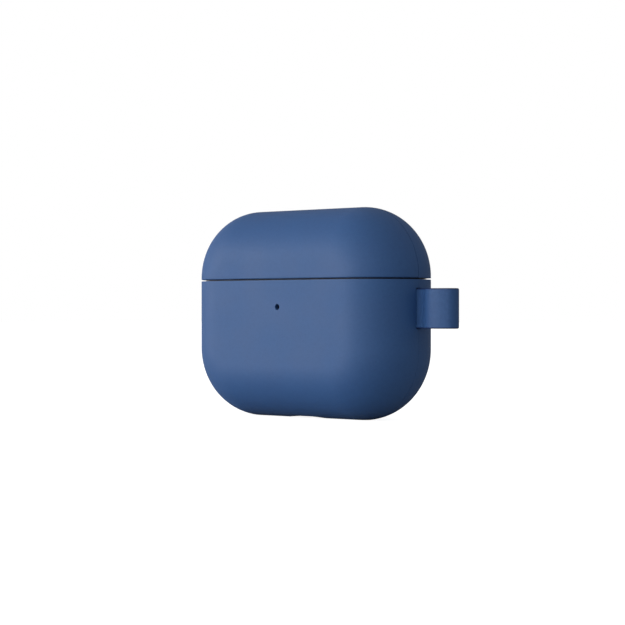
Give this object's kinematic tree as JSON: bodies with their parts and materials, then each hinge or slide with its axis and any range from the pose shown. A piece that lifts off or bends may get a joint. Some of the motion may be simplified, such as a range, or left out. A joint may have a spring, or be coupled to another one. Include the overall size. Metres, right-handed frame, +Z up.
{
  "type": "wireless earbuds case",
  "caption": "Upright rounded charging case for wireless earbuds in a fitted two-skin cover, with a rear-hinged lid, a side strap loop, a status pinhole and a port in the base.",
  "frame": {"origin": "middle of the base, on the plane the case stands on, at the mouth of the charging opening", "axes": "+X towards the strap side and along the case width, +Y to the rear where the hinge is, +Z up to the top of the lid; the status pinhole is in the front, -Y"},
  "size_m": [0.0741, 0.0242, 0.0482],
  "materials": {
    "cover_skin": "smooth matt blue",
    "cover_strap": "smooth matt blue, cut edges",
    "cover_frame": "matt dark blue",
    "case_shell": "satin dark graphite blue",
    "case_insert": "fine satin",
    "hinge_steel": "brushed",
    "screw_steel": "plain",
    "circuit_board": "solder mask",
    "chip_epoxy": "matt",
    "switch_plastic": "plain",
    "shield_tin": "satin",
    "gold_plate": "polished",
    "battery_foil": "crinkled foil",
    "adhesive_foam": "matt",
    "wire_sleeve": "plain",
    "flex_film": "thin film",
    "led_body": "plain",
    "light_pipe": "clear",
    "coil_copper": "enamelled copper",
    "ferrite": "matt",
    "button_plastic": "satin",
    "magnet_nickel": "plated"
  },
  "bodies": {
    "case_body": {"battery_cell": "battery_foil", "battery_guard_board": "circuit_board", "battery_leads": "wire_sleeve", "battery_pad": "adhesive_foam", "board_chips": "chip_epoxy", "case_body_shell": "case_shell", "charging_coil": "coil_copper", "coil_ferrite": "ferrite", "coil_leads": "coil_copper", "contact_barrels_left": "gold_plate", "contact_barrels_right": "gold_plate", "contact_board_left": "circuit_board", "contact_board_right": "circuit_board", "cover_body_frame": "cover_frame", "cover_body_front_skin": "cover_skin", "cover_body_rear_skin": "cover_skin", "cradle": "case_insert", "earbud_magnet_left": "magnet_nickel", "earbud_magnet_right": "magnet_nickel", "hinge_body_leaf": "hinge_steel", "hinge_pin": "hinge_steel", "hinge_screws_body": "screw_steel", "hinge_spring": "hinge_steel", "latch_magnet_body": "magnet_nickel", "led_board": "circuit_board", "led_flex": "flex_film", "lid_sensor": "chip_epoxy", "light_pipe": "light_pipe", "main_board": "circuit_board", "pairing_switch": "switch_plastic", "shield_can": "shield_tin", "socket_contacts": "gold_plate", "socket_shell": "shield_tin", "socket_tongue": "chip_epoxy", "socket_trim": "case_shell", "status_led": "led_body", "strap_loop": "cover_strap"},
    "lid": {"cover_lid_frame": "cover_frame", "cover_lid_front_skin": "cover_skin", "cover_lid_rear_skin": "cover_skin", "case_lid_shell": "case_shell", "lid_liner": "case_insert", "hinge_lid_leaf": "hinge_steel", "hinge_screws_lid": "screw_steel", "latch_magnet_lid": "magnet_nickel", "sensor_magnet": "magnet_nickel"},
    "pairing_button": {"pairing_button": "button_plastic"},
    "left_contacts": {"contact_pins_left": "gold_plate"},
    "right_contacts": {"contact_pins_right": "gold_plate"}
  },
  "joints": [
    {"name": "lid_hinge", "type": "hinge", "parent": "case_body", "child": "lid", "pos_m": [0, 0.0109, 0.03185], "axis": [-1, 0, 0], "range_deg": [0, 105]},
    {"name": "pairing_button_press", "type": "slide", "parent": "case_body", "child": "pairing_button", "axis": [0, -1, 0], "range_m": [0, 0.00035], "stiffness_N_per_m": 1000, "springref_m": -0.0003},
    {"name": "left_contact_press", "type": "slide", "parent": "case_body", "child": "left_contacts", "axis": [0, 0, -1], "range_m": [0, 0.0005], "stiffness_N_per_m": 400, "springref_m": -0.0004},
    {"name": "right_contact_press", "type": "slide", "parent": "case_body", "child": "right_contacts", "axis": [0, 0, -1], "range_m": [0, 0.0005], "stiffness_N_per_m": 400, "springref_m": -0.0004}
  ]
}
